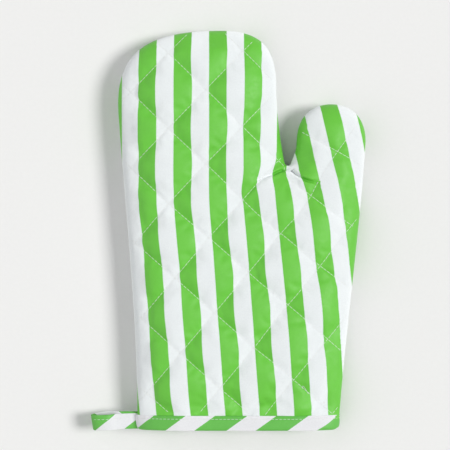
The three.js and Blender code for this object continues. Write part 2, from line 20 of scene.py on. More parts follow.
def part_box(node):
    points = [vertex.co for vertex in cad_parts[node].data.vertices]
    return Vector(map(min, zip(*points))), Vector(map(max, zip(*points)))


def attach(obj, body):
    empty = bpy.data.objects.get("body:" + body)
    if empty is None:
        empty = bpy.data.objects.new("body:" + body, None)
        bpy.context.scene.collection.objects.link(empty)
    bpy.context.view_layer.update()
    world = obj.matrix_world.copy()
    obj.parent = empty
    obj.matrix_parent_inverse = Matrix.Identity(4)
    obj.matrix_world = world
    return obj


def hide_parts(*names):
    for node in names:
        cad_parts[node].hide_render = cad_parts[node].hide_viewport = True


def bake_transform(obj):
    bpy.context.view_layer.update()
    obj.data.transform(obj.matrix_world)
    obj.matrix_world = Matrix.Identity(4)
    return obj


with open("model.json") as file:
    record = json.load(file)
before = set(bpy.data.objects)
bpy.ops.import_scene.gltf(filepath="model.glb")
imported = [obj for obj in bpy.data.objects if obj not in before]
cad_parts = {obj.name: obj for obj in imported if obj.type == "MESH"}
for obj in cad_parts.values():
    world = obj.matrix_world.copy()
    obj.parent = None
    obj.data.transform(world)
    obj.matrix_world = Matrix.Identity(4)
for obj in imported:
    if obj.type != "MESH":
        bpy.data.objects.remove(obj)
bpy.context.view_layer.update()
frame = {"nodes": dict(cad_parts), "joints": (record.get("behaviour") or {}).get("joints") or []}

MM = 0.001  # metres

# ---------------- sizes

# Fullness of the halves, as in the CAD part.
FRONT_CROWN = 18.5  # height of the upper half over the seam plane, without its quilting
BACK_CROWN = 16.5  # and of the lower half, if the table didn't press on it
CROWN_REACH = 42  # distance from the seam over which a half rises to its full height
CUFF_CROWN = 0.72  # share of that height that is left where the binding gathers the cuff
GATHER_START = 2  # past the binding
GATHER_LENGTH = 26

# Plies.
PLY_GAP = 0.3  # between two plies that lie on each other
FACE_THICKNESS = 0.7
WADDING_THICKNESS = 5
WADDING_PRESSED = 1
LINING_THICKNESS = 0.7
FOLD_GAP = 0.5  # between two plies where they fold in at the seam
SEAM_ALLOWANCE = 6

# Binding and loop.
BINDING_WIDTH = 9.2
BINDING_CLEARANCE = 0.35
LOOP_THICKNESS = 1.3

# Stripes of the face cloth.
STRIPE_REPEAT = 25.4
STRIPE_GREEN = 0.505  # green share of the repeat
STRIPE_START = -72.1  # left edge of a green stripe

# Quilting: lines that cross in a lattice of squares standing on their corners.
LATTICE_LEFT = -77.7
LATTICE_TOP = 243.7
LATTICE_HALF_WIDTH = 27.2
LATTICE_HALF_HEIGHT = 27.4
LATTICE_CELL = math.hypot(LATTICE_HALF_WIDTH, LATTICE_HALF_HEIGHT)
LATTICE_REACH = 16  # number of lines on each side of the lattice's own corner
PUFF_ROUNDNESS = 0.55  # an exponent: the lower, the fuller the squares
QUILT_FADE = 14  # width over which the quilting fades out
SUNK = 1.7  # how far the quilting lines lie below the CAD part's plain crown
EDGE_LEVEL = 1.5  # height at which the cloth turns in towards the seam

# Bias stripes of the binding and the loop.
BIAS_REPEAT = 44.3
BIAS_GREEN = 0.525
BIAS_SLOPE = 1.36  # run along the strip for each unit across it
BIAS_START = -77.5  # left edge of a green stripe at the fold
LOOP_BIAS_START = -84.9
BIAS_FOLD_LEVEL = -2.3  # y at which both of them are measured

# Cloth simulation.
SIM_SCALE = 10  # it runs on an enlarged copy, where the solver is steady
SIM_FRAMES = 20
CLOTH_SLACK = 0.055  # share by which the cloth is cut larger than the place that it fills
SEAM_SLACK = 0.2  # share of the puckers that is left at the seam
EDGE_HELD = 2.5  # width beside the seam in which the cloth is held
LINE_HELD = 0.3  # distance from a quilting line within which it is held
SIM_SETTINGS = {
    "quality": 6,
    "mass": 0.3,
    "tension_stiffness": 25,
    "compression_stiffness": 25,
    "shear_stiffness": 12,
    "bending_stiffness": 0.6,
    "tension_damping": 12,
    "compression_damping": 12,
    "shear_damping": 12,
    "bending_damping": 2,
    "air_damping": 2,
    "use_pressure": True,
    "uniform_pressure_force": 12,
    "pressure_factor": 1,
}


def mix(a, b, share):
    return a + (b - a) * share


def smooth(t):
    s = np.clip(t, 0, 1)
    return s * s * (3 - 2 * s)


def ramp(t, start, end):
    """The integral of a smooth step: 0 before start, and a slope of 1 past end."""
    s = np.clip((t - start) / (end - start), 0, 1)
    return (end - start) * (s**3 - s**4 / 2) + np.maximum(t - end, 0)


def bell(t, width):
    return np.exp(-((t / width) ** 2))


# ---------------- the part's frame


def node_points(node):
    mesh = frame["nodes"][node].data
    return np.array([v.co for v in mesh.vertices], float) / MM


def find_origin():
    """The place of the mitt's own origin in the frame."""
    face = node_points("front_face_cloth")
    cuff = face[face[:, 1] < face[:, 1].min() + 0.01]
    middle = (cuff[:, 0].min() + cuff[:, 0].max()) / 2
    return np.array([middle, face[:, 1].min(), face[:, 2].min() - PLY_GAP / 2])


ORIGIN = find_origin()
SEAM_HEIGHT = ORIGIN[2]


def read_seam():
    """The seam as the CAD part has it: its corners from the cuff's left end to its right end."""
    node = frame["nodes"]["front_face_cloth"]
    points = node_points("front_face_cloth") - ORIGIN
    corners = [tuple(np.round(p, 2)) for p in points]
    place = dict(zip(corners[::-1], points[::-1]))
    lowest = min(key[2] for key in place)
    # The turned edge lies flat at the lowest level, and the seam is the outer side of it.
    count = Counter()
    for polygon in node.data.polygons:
        keys = [corners[i] for i in polygon.vertices]
        if max(key[2] for key in keys) < lowest + 0.005:
            count.update(frozenset(edge) for edge in zip(keys, keys[1:] + keys[:1]))
    neighbours = {}
    for edge, times in count.items():
        if times == 1 and len(edge) == 2:
            a, b = edge
            neighbours.setdefault(a, []).append(b)
            neighbours.setdefault(b, []).append(a)
    start = min(neighbours, key=lambda key: (round(key[1], 1), key[0]))
    chain = [start, max(neighbours[start], key=lambda key: key[1])]
    while chain[-1][1] > start[1] + 0.01:
        onward = [key for key in neighbours[chain[-1]] if key != chain[-2]]
        chain.append(onward[0])
    return np.array([place[key][:2] for key in chain])


SEAM_CORNERS = read_seam()
HALF_CUFF = SEAM_CORNERS[-1][0]


def smooth_line(points, spacing):
    """A curve through the points (centripetal Catmull-Rom), sampled at about that spacing."""
    p = np.vstack([2 * points[0] - points[1], points, 2 * points[-1] - points[-2]])
    knots = np.append(0, np.cumsum(np.sqrt(np.linalg.norm(np.diff(p, axis=0), axis=1))))
    made = []
    for i in range(1, len(p) - 2):
        count = max(int(round(np.linalg.norm(p[i + 1] - p[i]) / spacing)), 1)
        t = knots[i - 1 : i + 3]
        u = mix(t[1], t[2], np.arange(count)[:, None] / count)
        near = p[i - 1 : i + 3]
        for span in (1, 2):
            near = [mix(a, b, (u - t[j]) / (t[j + span] - t[j]))
                    for j, (a, b) in enumerate(zip(near, near[1:]))]
        made.append(mix(*near, (u - t[1]) / (t[2] - t[1])))
    return np.vstack([*made, points[-1]])


def length_along(line):
    """How far along the line each of its points lies."""
    return np.append(0, np.cumsum(np.linalg.norm(np.diff(line, axis=0), axis=1)))


def divide_evenly(line, spacing):
    """The line again, with points at even steps of about that spacing."""
    along = length_along(line)
    count = int(round(along[-1] / spacing))
    steps = np.linspace(0, along[-1], count + 1)
    return np.column_stack([np.interp(steps, along, line[:, k]) for k in range(line.shape[1])])


def inward_normals(line):
    """Unit vectors into the mitt, square to the seam, and along x at its two ends."""
    along = np.gradient(line, axis=0)
    along /= np.linalg.norm(along, axis=1)[:, None]
    normals = np.column_stack([along[:, 1], -along[:, 0]])
    normals[0] = (1, 0)
    normals[-1] = (-1, 0)
    return normals


SEAM = smooth_line(SEAM_CORNERS, 0.5)

# ---------------- fields over the panel


def fullness(y):
    """0 where the binding gathers the cuff, 1 where the mitt is full."""
    return smooth((y - BINDING_WIDTH - GATHER_START) / GATHER_LENGTH)


def seam_distance(xy):
    """A smooth distance from the seam: exact beside one straight edge, less in the corners."""
    past = np.array([0, -2 * SEAM_CORNERS[:, 1].max()])
    line = np.vstack([SEAM_CORNERS[0] + past, SEAM_CORNERS, SEAM_CORNERS[-1] + past])
    total = np.zeros(len(xy))
    for a, b in zip(line[:-1], line[1:]):
        length = np.linalg.norm(b - a)
        along = (b - a) / length
        offset = a - xy
        start = offset @ along
        end = start + length
        aside = np.maximum((offset**2).sum(1) - start**2, 1e-7)
        total += (end / np.sqrt(aside + end**2) - start / np.sqrt(aside + start**2)) / aside
    return 1 / np.sqrt(np.maximum(total / 2, 1e-12))


def true_distance(xy, line=SEAM):
    """The distance from the nearest point of a densely sampled line."""
    best = np.full(len(xy), np.inf)
    for a, b in zip(line[:-1], line[1:]):
        step = b - a
        share = np.clip(((xy - a) @ step) / (step @ step), 0, 1)
        best = np.minimum(best, np.hypot(*(a + share[:, None] * step - xy).T))
    return best


def away_from(points, distance, line=SEAM):
    """Those of the points that lie more than that far from a line."""
    return points[true_distance(points, line) > distance]


# The thumb's line x, half the width over which the cloth changes to it below and above the
# crotch, and how its stripes turn: slopes, and the y between which each of them sets in.
THUMB_LINE = 36.5
THUMB_CHANGE = (32.8, 3.65)
THUMB_TURNS = ((0.06, 74, 103), (0.16, 136, 180))


def thumb_weight(x, y):
    """0 on the fingers and 1 on the thumb, with a wide change below the crotch."""
    half = mix(*THUMB_CHANGE, smooth((y - 165) / 26))
    return smooth((x - THUMB_LINE + half) / (2 * half))


def fabric_u(x, y):
    """Across the stripes. They lean on the palm, and turn into the thumb."""
    lean = 0.074 * ramp(-y, -173, -150)
    turn = sum(slope * ramp(y, start, end) for slope, start, end in THUMB_TURNS)
    # The gathered cuff draws them together, and the crotch draws those on its left away.
    gather = 0.014 * (x - 20) * smooth((180 - y) / 60) * (1 + 0.6 * smooth((30 - y) / 30))
    drawn = 1.7 * smooth((x + 15) / 35) * (1 - smooth((x - 34) / 10)) * bell(y - 196, 48)
    return x - lean + thumb_weight(x, y) * turn + gather + drawn


def fabric_v(x, y):
    """Along the stripes."""
    lean = 0.03 + 0.02 * smooth((220 - y) / 30) + 0.025 * smooth((160 - y) / 25)
    turn = sum(slope * smooth((y - start) / (end - start)) for slope, start, end in THUMB_TURNS)
    raised = 2.2 * smooth((x - 5) / 30) * smooth((125 - y) / 40)
    return y - lean * (x - LATTICE_LEFT) - thumb_weight(x, y) * turn * (x - 49) - raised


def quilt(x, y):
    """Two coordinates that are whole numbers on the quilting lines of the two directions."""
    across = (fabric_u(x, y) - LATTICE_LEFT) / LATTICE_HALF_WIDTH
    down = (LATTICE_TOP - fabric_v(x, y)) / LATTICE_HALF_HEIGHT
    return (across + down) / 2, (across - down) / 2


# The room in which the lattice is made, across the stripes and along them.
NEAR_ACROSS = 130
NEAR_ALONG = (-60, 320)


def lattice_places(a, b):
    """The places at which quilt() gives a and b, of those that lie near the mitt."""
    u = (a + b) * LATTICE_HALF_WIDTH + LATTICE_LEFT
    v = LATTICE_TOP - (a - b) * LATTICE_HALF_HEIGHT
    near = (np.abs(u) < NEAR_ACROSS) & (v > NEAR_ALONG[0]) & (v < NEAR_ALONG[1])
    u, v = u[near], v[near]
    x, y = u, v
    for _ in range(60):
        x, y = x + 0.7 * (u - fabric_u(x, y)), y + 0.7 * (v - fabric_v(x, y))
    found = np.hypot(u - fabric_u(x, y), v - fabric_v(x, y)) <= 0.01
    return np.column_stack([x, y])[found]


# Folds that run from the crotch into the palm and into the thumb: their lines and depths.
CROTCH_FOLDS = (
    (smooth_line(np.array(((35.6, 188.0), (31.0, 186.6), (25.8, 184.2), (13.9, 179.5))), 1.0), 3.3),
    (smooth_line(np.array(((37.9, 187.6), (43.8, 182.6), (48.2, 180.5), (58.1, 177.0))), 1.0), 3.0),
)
FOLD_WIDTH = 0.85
FOLD_DIP_WIDTH = 7  # of the dip in the plies under a fold
FOLD_ROOM = 0.4  # by which that dip is deeper than the fold
LIP_AWAY, LIP_WIDTH = 2.4, 1.9
LIP_ABOVE, LIP_BELOW = 0.4, 0.1  # its height on each side of a fold, for each unit of depth
FOLD_ROWS = (-1.7, -0.8, 0, 0.8, 1.7)  # of mesh points beside a fold

# ---------------- panel mesh


def panel(divisions, spacing, rings, folds=()):
    """A half's outline filled with a mesh that follows the quilting, seen from above, and is
    finer along the folds. It has so many cells along a quilted square, and rows of points so
    far from the seam. Returns its points, its faces, and the numbers of the points on the
    seam, in order."""
    seam = divide_evenly(SEAM, spacing)
    inward = inward_normals(seam)
    points = []
    edges = []
    for inset in (0, *rings):
        row = seam + inset * inward
        row[0][1] = row[-1][1] = 0
        edges += [(len(points) + i, len(points) + i + 1) for i in range(len(row) - 1)]
        points += list(row)
    inner = points[-len(seam)][0] + spacing
    mouth_start = len(points)
    mouth = np.linspace(inner, -inner, int(round(-2 * inner / spacing)) + 1)
    points += [np.array([x, 0.0]) for x in mouth]
    row_starts = [k * len(seam) for k in range(len(rings) + 1)]
    row_ends = [start + len(seam) - 1 for start in row_starts]
    order = row_starts + list(range(mouth_start, len(points))) + row_ends[::-1]
    edges += list(zip(order[:-1], order[1:]))
    # The inside: every crossing of the lattice's fine lines that isn't too close to a row,
    # to the mouth or to a fold, and finer rows along the folds.
    steps = np.arange(-LATTICE_REACH * divisions, LATTICE_REACH * divisions + 1) / divisions
    inside = lattice_places(*(grid.ravel() for grid in np.meshgrid(steps, steps)))
    inside = away_from(inside[inside_outline(inside)], rings[-1] + 0.55 * spacing)
    inside = inside[inside[:, 1] > 0.6 * spacing]
    for line, _ in folds:
        inside = away_from(inside, FOLD_ROWS[-1] + 0.9, line)
    for number, (line, _) in enumerate(folds):
        even = divide_evenly(line, 1.0)
        aside = inward_normals(even)
        aside[0], aside[-1] = aside[1], aside[-2]
        rows = np.vstack([even + offset * aside for offset in FOLD_ROWS])
        rows = away_from(rows, rings[-1] + 0.5)
        for other, _ in folds[:number]:
            rows = away_from(rows, FOLD_ROWS[-1] + 0.7, other)
        inside = np.vstack([inside, rows])
    points += list(inside)
    made = delaunay_2d_cdt([Vector(p) for p in points], edges, [], 1, 1e-4, True)
    places = np.array([v[:] for v in made[0]])
    new_number = {old: new for new, olds in enumerate(made[3]) for old in olds}
    triangles = [list(t) for t in made[2]]
    middles = np.array([places[t].mean(0) for t in triangles])
    triangles = [t for t, inside in zip(triangles, inside_outline(middles)) if inside]
    faces = join_to_quads(places, triangles)
    return places, faces, [new_number[i] for i in range(len(seam))]


def inside_outline(xy):
    """Whether each point lies inside the seam and the mouth."""
    x, y = xy[:, :1], xy[:, 1:]
    (start_x, start_y), (end_x, end_y) = SEAM.T, np.roll(SEAM, -1, axis=0).T
    spans = (start_y > y) != (end_y > y)
    with np.errstate(divide="ignore", invalid="ignore"):
        at = start_x + (y - start_y) * (end_x - start_x) / (end_y - start_y)
    return (spans & (x < at)).sum(1) % 2 == 1


def join_to_quads(places, triangles):
    """Pairs triangles into quads where they make a good one, and turns all faces up."""
    made = bmesh.new()
    corners = [made.verts.new((x, y, 0)) for x, y in places]
    for triangle in triangles:
        made.faces.new([corners[i] for i in triangle])
    made.verts.index_update()
    bmesh.ops.recalc_face_normals(made, faces=made.faces)
    bmesh.ops.join_triangles(
        made, faces=made.faces, angle_face_threshold=3.2, angle_shape_threshold=0.7
    )
    faces = []
    for face in made.faces:
        numbers = [v.index for v in face.verts]
        faces.append(numbers if face.normal.z > 0 else numbers[::-1])
    made.free()
    return faces


# ---------------- heights


def crown_height(xy, crown, level, depth=0):
    """Height of a ply over the seam plane: a quarter of an ellipse that rises from the seam."""
    full = fullness(xy[:, 1])
    short = np.maximum(1 - seam_distance(xy) / CROWN_REACH, 0)
    top = crown * mix(CUFF_CROWN, 1, full) - depth
    return mix(level, top, np.sqrt(1 - short**2))


def puffs(xy):
    """Shape of the quilted squares: 0 on the lines and 1 in the middle."""
    a, b = quilt(xy[:, 0], xy[:, 1])
    return (np.abs(np.sin(np.pi * a)) * np.abs(np.sin(np.pi * b))) ** PUFF_ROUNDNESS


def quilted_share(xy):
    """How deep the quilting goes: it fades out towards the seam and under the binding."""
    from_cuff = xy[:, 1] - BINDING_WIDTH + 4
    return smooth(true_distance(xy) / QUILT_FADE) * smooth(from_cuff / QUILT_FADE)


def on_quilting_line(xy):
    a, b = quilt(xy[:, 0], xy[:, 1])
    away = np.minimum(np.abs(a - np.round(a)), np.abs(b - np.round(b))) * LATTICE_CELL
    return away < LINE_HELD


# ---------------- meshes


def new_object(name, data):
    obj = bpy.data.objects.new(name, data)
    bpy.context.scene.collection.objects.link(obj)
    return obj


def mesh_object(name, points, faces, outwards=False):
    """A new smooth object, from points in millimetres in the mitt's own frame. outwards
    turns all its faces out."""
    mesh = bpy.data.meshes.new(name)
    mesh.from_pydata([tuple(p) for p in (np.asarray(points) + ORIGIN) * MM], [], faces)
    mesh.validate()
    if outwards:
        made = bmesh.new()
        made.from_mesh(mesh)
        bmesh.ops.recalc_face_normals(made, faces=made.faces)
        made.to_mesh(mesh)
        made.free()
    shade_smooth(mesh)
    return new_object(name, mesh)


def shade_smooth(mesh):
    mesh.polygons.foreach_set("use_smooth", [True] * len(mesh.polygons))
    mesh.update()


def mesh_points(mesh):
    co = np.zeros(len(mesh.vertices) * 3)
    mesh.vertices.foreach_get("co", co)
    return co.reshape(-1, 3)


def grid_faces(rows, columns, rows_close=False, columns_close=False):
    """Quads between rows of points that are numbered one row after the other."""
    faces = []
    for i in range(rows if rows_close else rows - 1):
        a, b = i * columns, (i + 1) % rows * columns
        for j in range(columns if columns_close else columns - 1):
            k = (j + 1) % columns
            faces.append([a + j, a + k, b + k, b + j])
    return faces


def store(mesh, name, values):
    kind = "FLOAT" if np.ndim(values) == 1 else "FLOAT_VECTOR"
    attribute = mesh.attributes.new(name, kind, "POINT")
    field = "value" if kind == "FLOAT" else "vector"
    attribute.data.foreach_set(field, np.asarray(values, np.float32).ravel())


def apply_modifier(obj, kind, **settings):
    modifier = obj.modifiers.new(kind, kind)
    for name, value in settings.items():
        setattr(modifier, name, value)
    graph = bpy.context.evaluated_depsgraph_get()
    made = bpy.data.meshes.new_from_object(obj.evaluated_get(graph), depsgraph=graph)
    obj.modifiers.clear()
    old = obj.data
    obj.data = made
    bpy.data.meshes.remove(old)


def inflate(points, faces, held):
    """Cloth that is held at some points and pushed outwards between them by a pressure."""
    mesh = bpy.data.meshes.new("cloth")
    mesh.from_pydata([tuple(p) for p in points * MM * SIM_SCALE], [], faces)
    cloth = new_object("cloth", mesh)
    group = cloth.vertex_groups.new(name="held")
    group.add([int(i) for i in held], 1.0, "REPLACE")
    modifier = cloth.modifiers.new("Cloth", "CLOTH")
    for name, value in SIM_SETTINGS.items():
        setattr(modifier.settings, name, value)
    modifier.settings.vertex_group_mass = "held"
    modifier.settings.shrink_min = modifier.settings.shrink_max = -CLOTH_SLACK
    modifier.settings.effector_weights.gravity = 0
    modifier.collision_settings.use_collision = False
    modifier.point_cache.frame_start = 1
    modifier.point_cache.frame_end = SIM_FRAMES
    scene = bpy.context.scene
    for number in range(1, SIM_FRAMES + 1):
        scene.frame_set(number)
    graph = bpy.context.evaluated_depsgraph_get()
    result = mesh_points(cloth.evaluated_get(graph).data) / MM / SIM_SCALE
    scene.frame_set(1)
    bpy.data.objects.remove(cloth)
    bpy.data.meshes.remove(mesh)
    return result


# ---------------- face cloths

# How the cloth turns in at the seam: insets from the seam, and heights over its plane.
SEAM_TURN = ((0.06, 0.95), (0.4, 0.45), (1.1, 0.2), (2.6, PLY_GAP / 2))
HIDDEN_TURN = 3.7  # what the turned cloth takes up besides its seam allowance
SHARPNESS = 0.7  # of the creases along the quilting lines
SAME_LINE = 0.02  # of a square, by which two points on one quilting line may differ
SHELL_THICKNESS = FACE_THICKNESS - 0.1  # a little less than in the CAD part
TABLE_CLEARANCE = 0.05

# Its rows beside the seam are close together, where the cloth turns steeply.
panel_places, panel_faces, panel_seam = panel(16, 2.2, (0.12, 0.5, 1.2, 2.3, 3.8), CROTCH_FOLDS)


def quilted_surface():
    """The outside of the upper half, puffed up between the quilting lines."""
    share = quilted_share(panel_places)
    low = crown_height(panel_places, FRONT_CROWN, EDGE_LEVEL) - SUNK * share
    start = np.column_stack([panel_places, low])
    from_seam = true_distance(panel_places)
    at_edge = (from_seam < EDGE_HELD) | (panel_places[:, 1] < BINDING_WIDTH)
    puffed = inflate(start, panel_faces, np.nonzero(on_quilting_line(panel_places) | at_edge)[0])
    # The turned seam stretches the cloth beside it, which leaves it with less slack.
    slack = mix(SEAM_SLACK, 1, smooth((from_seam - 2) / 15))
    return start + slack[:, None] * (puffed - start)


def with_turned_seam(places, points, faces, seam):
    """Adds the cloth that turns in at the seam and runs on as the seam allowance.
    Returns points and faces, and for each point its place on the flat cut cloth."""
    edge = places[seam]
    inward = inward_normals(edge)
    allowance = HIDDEN_TURN + SEAM_ALLOWANCE * fullness(edge[:, 1])
    points, cut, faces = list(points), list(places), list(faces)
    before = seam
    for inset, height in (*SEAM_TURN, (allowance, PLY_GAP / 2)):
        inset = np.broadcast_to(inset, len(edge))[:, None]
        place = edge + inset * inward
        place[[0, -1], 1] = 0
        now = list(range(len(points), len(points) + len(edge)))
        points += [np.array([x, y, height]) for x, y in place]
        cut += list(edge - (inset + 1) * inward)
        faces += [[before[i], before[i + 1], now[i + 1], now[i]] for i in range(len(edge) - 1)]
        before = now
    return np.array(points), np.array(cut), faces


def crease_lines(mesh, places):
    """Keeps the edges that lie on the quilting lines sharp when the mesh is subdivided."""
    on_line = np.zeros(len(mesh.vertices), bool)
    on_line[: len(places)] = on_quilting_line(places)
    a, b = quilt(places[:, 0], places[:, 1])
    sharp = mesh.attributes.new("crease_edge", "FLOAT", "EDGE")
    for edge, value in zip(mesh.edges, sharp.data):
        i, j = edge.vertices
        if on_line[i] and on_line[j] and places[i, 1] > BINDING_WIDTH:
            if min(abs(a[i] - a[j]), abs(b[i] - b[j])) < SAME_LINE:
                value.value = SHARPNESS


def flattened(height, limit, softness=1.2):
    """A height that the table presses on: it stops softly at the limit."""
    return limit - softness * np.logaddexp(0, (limit - height) / softness)


def face_cloth(name, quilted, front):
    """The outer cloth of one half, with its quilting, its turned seam and its creases."""
    points = quilted.copy()
    if not front:
        low = crown_height(panel_places, FRONT_CROWN, EDGE_LEVEL)
        back = crown_height(panel_places, BACK_CROWN, EDGE_LEVEL)
        points[:, 2] += back - low
        pressed = flattened(points[:, 2], SEAM_HEIGHT - TABLE_CLEARANCE)
        points[:, 2] = np.where(true_distance(panel_places) > 0.5, pressed, points[:, 2])
    points, cut, faces = with_turned_seam(panel_places, points, panel_faces, panel_seam)
    if not front:
        points[:, 2] *= -1
        faces = [face[::-1] for face in faces]
    obj = mesh_object(name, points, faces)
    store(obj.data, "cut", np.column_stack([cut, np.zeros(len(cut))]))
    crease_lines(obj.data, panel_places)
    apply_modifier(obj, "SUBSURF", levels=1, render_levels=1)
    if front:
        add_crotch_folds(obj.data)
    set_cloth_coordinates(obj.data)
    thickness = SHELL_THICKNESS * MM
    apply_modifier(obj, "SOLIDIFY", thickness=thickness, offset=-1, use_even_offset=False)
    shade_smooth(obj.data)
    return obj


def set_cloth_coordinates(mesh):
    """Where each point lies on the cloth: in stripes, and in millimetres for its weave."""
    cut = np.zeros(len(mesh.vertices) * 3)
    mesh.attributes["cut"].data.foreach_get("vector", cut)
    x, y, _ = cut.reshape(-1, 3).T
    u = fabric_u(x, y) - crotch_pull(x, y)
    store(mesh, "stripe", (u - STRIPE_START) / STRIPE_REPEAT)
    store(mesh, "weave", np.column_stack([u, fabric_v(x, y), 0 * u]))


def crotch_pull(x, y):
    """How far the seam of the crotch pulls the stripes beside it towards the fingers."""
    reach = 3.6 * smooth((x + 20) / 50) * (1 - smooth((x - 33) / 8))
    return -reach * bell(y - 184.8 + 0.45 * (29 - x), 8)


def fold_share(xy, line):
    """1 at the crotch, and less where a fold runs out."""
    from_start = np.hypot(*(xy - line[0]).T)
    length = np.linalg.norm(line[-1] - line[0])
    return 1 - smooth((from_start - 0.35 * length) / (0.75 * length))


def fold_dip(xy):
    """How far the folds at the crotch push the plies under them inwards."""
    dip = np.zeros(len(xy))
    for line, depth in CROTCH_FOLDS:
        near = bell(true_distance(xy, line), FOLD_DIP_WIDTH)
        dip = np.maximum(dip, (depth + FOLD_ROOM) * near * fold_share(xy, line))
    return dip


def fold_rise(xy):
    """How much the folds raise the cloth: a narrow valley with a soft lip on each side."""
    rise = np.zeros(len(xy))
    for line, depth in CROTCH_FOLDS:
        away = true_distance(xy, line)
        above = xy[:, 1] > np.interp(xy[:, 0], *line[np.argsort(line[:, 0])].T)
        lip = np.where(above, LIP_ABOVE, LIP_BELOW) * bell(away - LIP_AWAY, LIP_WIDTH)
        rise += depth * fold_share(xy, line) * (lip - bell(away, FOLD_WIDTH))
    return rise


def add_crotch_folds(mesh):
    points = mesh_points(mesh) / MM - ORIGIN
    points[:, 2] += np.where(points[:, 2] > EDGE_LEVEL, fold_rise(points[:, :2]), 0)
    mesh.vertices.foreach_set("co", ((points + ORIGIN) * MM).ravel())
    mesh.update()


# ---------------- wadding and lining

SLOPE_FADE = (8.4, 14.7)  # distance from the seam at which it starts, and its width
PUCKER_ROOM = 0.3  # that the wadding leaves for the puckers of the face cloth
THINNEST_WADDING = 0.2


def inward_slope(xy, seam=()):
    """The direction into the mitt, fading out where the plies lie straight over each other.
    seam gives the numbers of the points on the seam, in order."""
    step = 0.05
    distance = seam_distance(xy)
    slope = np.column_stack([
        (seam_distance(xy + (step, 0)) - distance) / step,
        (seam_distance(xy + (0, step)) - distance) / step,
    ])
    if len(seam):
        slope[seam] = inward_normals(xy[seam])
    slope[:, 1] *= fullness(xy[:, 1])
    slope /= np.maximum(np.linalg.norm(slope, axis=1), 1)[:, None]
    return slope * (1 - smooth((distance - SLOPE_FADE[0]) / SLOPE_FADE[1]))[:, None]


# How each half lies: its crown, the limit that the table sets it, and its side of the seam.
HALVES = {"front": (FRONT_CROWN, math.inf, 1), "back": (BACK_CROWN, SEAM_HEIGHT, -1)}
inner_places, inner_faces, inner_seam = panel(6, 5.0, (1.5, 4.5))
inner_slope = inward_slope(inner_places, inner_seam)
inner_wadding = mix(WADDING_PRESSED, WADDING_THICKNESS, fullness(inner_places[:, 1]))


def ply_surface(half, inset, level, depth, pinch):
    """A face of a ply. At the quilting lines it is pulled towards the middle of the wadding."""
    crown, limit, _ = HALVES[half]
    pull = pinch * (1 - puffs(inner_places)) * quilted_share(inner_places)
    if pinch > 0:
        pull = pull * fullness(inner_places[:, 1])  # the gathered plies are too thin for it
    height = crown_height(inner_places, crown, level, depth) + pull
    if limit < math.inf:
        height = flattened(height, limit - depth + pull)
    height = np.maximum(height - fold_dip(inner_places), np.minimum(height, level))
    xy = inner_places + inset * inner_slope
    xy[:, 1] = np.maximum(xy[:, 1], 0)
    return np.column_stack([xy, height])


def ply(name, half, inset, level, depth, thickness, at_seam, pinch, least=-math.inf):
    """One inner ply of a half, closed all round. Its outer face lies that far in from the
    seam, rises from that level and lies that deep under the crown; at_seam is its thickness
    at the seam, and least the least one elsewhere."""
    outer = ply_surface(half, inset, level, depth, pinch)
    inner = ply_surface(half, inset + at_seam, level + at_seam, depth + thickness, 1.0)
    outer[:, 2] = np.maximum(outer[:, 2], inner[:, 2] + least)
    count = len(outer)
    faces = inner_faces + [[i + count for i in face[::-1]] for face in inner_faces]
    sides = dict.fromkeys(side for face in inner_faces for side in zip(face, face[1:] + face[:1]))
    faces += [[b, a, a + count, b + count] for a, b in sides if (b, a) not in sides]
    sign = HALVES[half][2]
    return mesh_object(name, np.vstack([outer, inner]) * (1, 1, sign), [f[::sign] for f in faces])


def wadding(name, half):
    inset = FACE_THICKNESS + FOLD_GAP
    under = FACE_THICKNESS + PLY_GAP
    return ply(
        name, half, inset, PLY_GAP / 2 + under, under + PUCKER_ROOM,
        inner_wadding, WADDING_PRESSED, pinch=-SUNK - PUCKER_ROOM, least=THINNEST_WADDING,
    )


def lining(name, half):
    inset = FACE_THICKNESS + 2 * FOLD_GAP + WADDING_PRESSED
    under = FACE_THICKNESS + 2 * PLY_GAP
    level = PLY_GAP / 2 + under + WADDING_PRESSED
    thickness = LINING_THICKNESS
    obj = ply(name, half, inset, level, under + inner_wadding, thickness, thickness, pinch=1.0)
    flat = np.column_stack([inner_places, 0 * inner_places[:, 0]])
    store(obj.data, "weave", np.vstack([flat, flat]))
    return obj


# ---------------- cuff binding

LEFT_SEAM = SEAM[: int(np.argmax(SEAM[:, 1] > 2 * BINDING_WIDTH))]
RIGHT_SEAM = SEAM[::-1][: int(np.argmax(SEAM[::-1, 1] > 2 * BINDING_WIDTH))]
LINED_DEPTH = FACE_THICKNESS + 2 * PLY_GAP + WADDING_PRESSED + LINING_THICKNESS
LINED_INSET = FACE_THICKNESS + 2 * FOLD_GAP + WADDING_PRESSED + LINING_THICKNESS


def cuff_points(share, front, y, inset, depth):
    """Points around the cuff. share runs across it, and inset and depth put them on a ply."""
    at = np.maximum(y, 0)
    left = np.interp(at, LEFT_SEAM[:, 1], LEFT_SEAM[:, 0])
    right = np.interp(at, RIGHT_SEAM[:, 1], RIGHT_SEAM[:, 0])
    xy = np.column_stack([mix(left, right, share), at])
    slope = inward_slope(xy)[:, 0]
    slope = np.where(share < 1e-6, 1.0, np.where(share > 1 - 1e-6, -1.0, slope))
    height = crown_height(xy, np.where(front, FRONT_CROWN, BACK_CROWN), 0.0, depth)
    return np.column_stack([
        xy[:, 0] + inset * slope, y, height * np.where(front, 1, -1)
    ])


